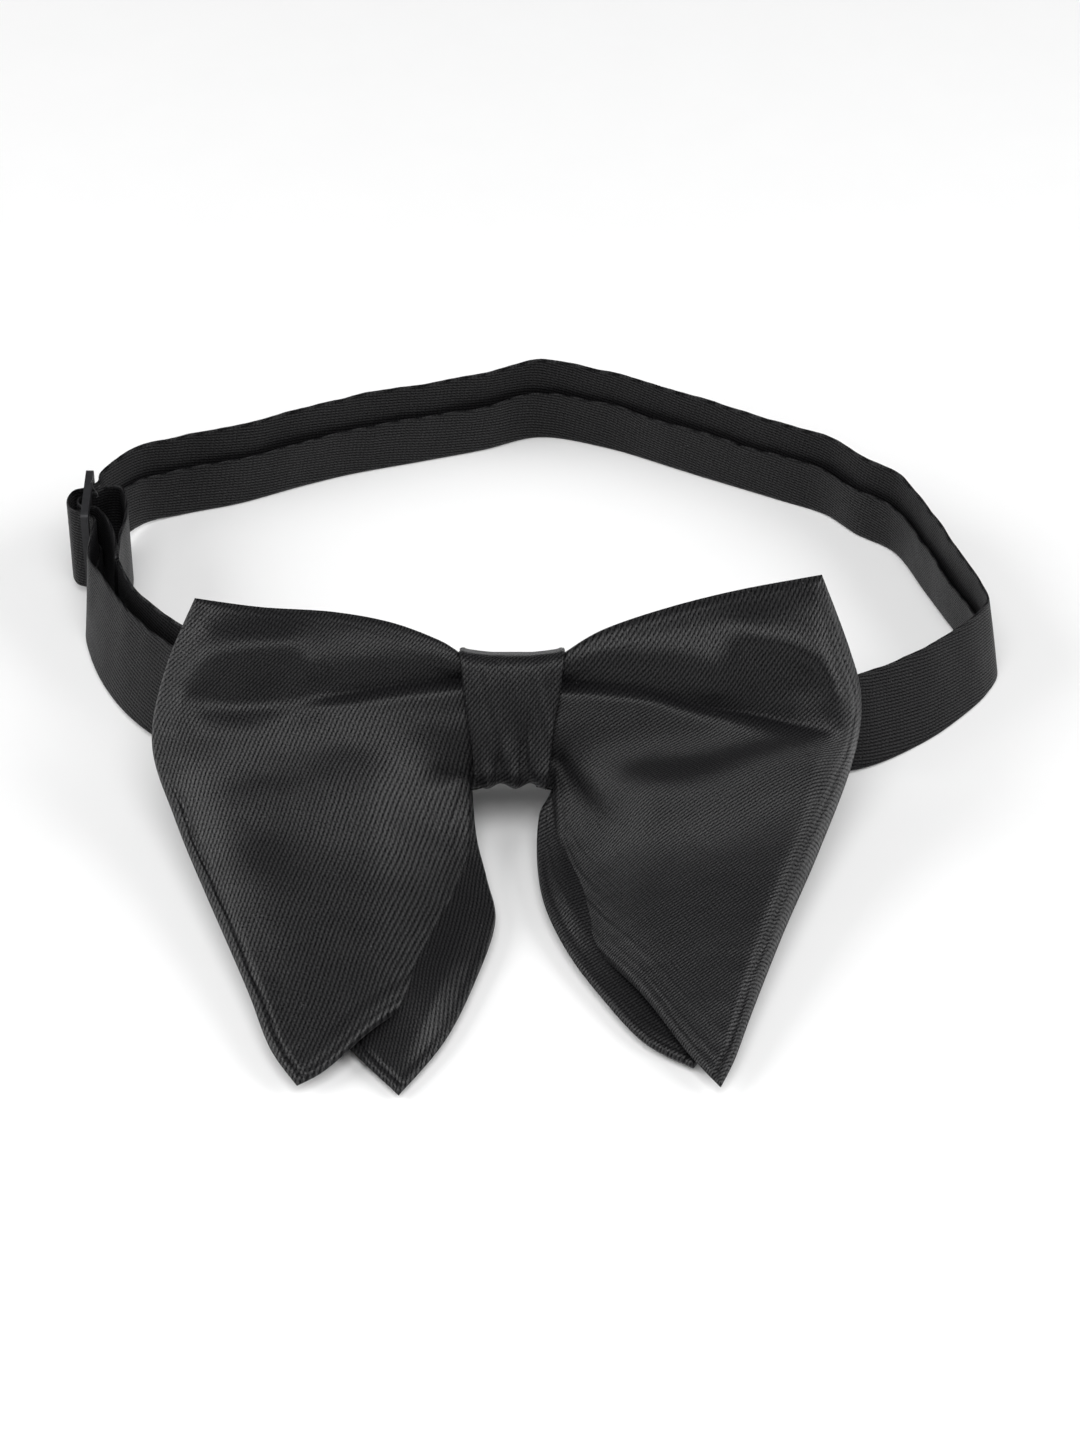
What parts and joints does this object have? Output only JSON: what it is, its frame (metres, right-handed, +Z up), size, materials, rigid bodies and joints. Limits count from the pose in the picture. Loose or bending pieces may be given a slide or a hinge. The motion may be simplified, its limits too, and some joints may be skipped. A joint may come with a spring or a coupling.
{
  "type": "bow tie",
  "caption": "Pre-tied satin bow tie with long butterfly wings on an adjustable neckband that closes with a hook and eye.",
  "frame": {"origin": "on the table, under the middle of the bow tie's footprint, as it lies with its neckband on edge and its wing tips down", "axes": "+Z up from the table, +X along the bow to the viewer's right, and the bow's front faces -Y, with the neckband behind it towards +Y"},
  "size_m": [0.1874, 0.1973, 0.0471],
  "materials": {
    "satin_twill": "black satin twill with fine diagonal ribs and a soft sheen",
    "lining": "matt woven interlining",
    "thread": "black sewing thread",
    "coated_metal": "black enamelled sheet metal, semi-gloss"
  },
  "bodies": {
    "knot": {"knot_wrap": "satin_twill", "knot_interlining": "lining", "front_bow_waist": "satin_twill", "rear_bow_waist": "satin_twill", "waist_binding_thread": "thread", "left_band_tack": "thread", "right_band_tack": "thread", "right_front_band": "satin_twill", "left_front_band": "satin_twill", "eye_tack": "thread", "eye": "coated_metal"},
    "neckband": {"back_band": "satin_twill", "band_interlining": "lining", "doubled_band": "satin_twill", "hook": "coated_metal"},
    "slide": {"slide_frame": "coated_metal", "loop_over_slide_bar": "satin_twill", "sewn_band_end": "satin_twill", "sewn_end_tack": "thread"},
    "left_rear_wing": {"left_rear_wing_face_panel": "satin_twill", "left_rear_wing_back_panel": "satin_twill", "left_rear_wing_interlining": "lining"},
    "left_front_wing": {"left_front_wing_face_panel": "satin_twill", "left_front_wing_back_panel": "satin_twill", "left_front_wing_interlining": "lining"},
    "right_rear_wing": {"right_rear_wing_face_panel": "satin_twill", "right_rear_wing_back_panel": "satin_twill", "right_rear_wing_interlining": "lining"},
    "right_front_wing": {"right_front_wing_face_panel": "satin_twill", "right_front_wing_back_panel": "satin_twill", "right_front_wing_interlining": "lining"}
  },
  "joints": [
    {"name": "neckband_open", "type": "hinge", "parent": "knot", "child": "neckband", "pos_m": [0.09237, 0.01583, 0], "axis": [0, 0, -1], "range_deg": [0, 70]},
    {"name": "slide_adjust", "type": "slide", "parent": "neckband", "child": "slide", "axis": [0, -1, 0], "range_m": [-0.006, 0.006]},
    {"name": "left_rear_wing_lift", "type": "hinge", "parent": "knot", "child": "left_rear_wing", "pos_m": [-0.01363, -0.00997, 0.0296], "axis": [-1, 0, 0], "range_deg": [0, 9], "stiffness_Nm_per_rad": 0.002},
    {"name": "left_front_wing_lift", "type": "hinge", "parent": "knot", "child": "left_front_wing", "pos_m": [-0.01363, -0.01257, 0.0352], "axis": [-1, 0, 0], "range_deg": [0, 15], "stiffness_Nm_per_rad": 0.002},
    {"name": "right_rear_wing_lift", "type": "hinge", "parent": "knot", "child": "right_rear_wing", "pos_m": [0.00717, -0.00997, 0.0296], "axis": [-1, 0, 0], "range_deg": [0, 9], "stiffness_Nm_per_rad": 0.002},
    {"name": "right_front_wing_lift", "type": "hinge", "parent": "knot", "child": "right_front_wing", "pos_m": [0.00717, -0.01257, 0.0352], "axis": [-1, 0, 0], "range_deg": [0, 15], "stiffness_Nm_per_rad": 0.002}
  ],
  "couplings": [
    {"joint": "left_rear_wing_lift", "follows": "left_front_wing_lift", "ratio": 0.6},
    {"joint": "right_rear_wing_lift", "follows": "right_front_wing_lift", "ratio": 0.6}
  ]
}
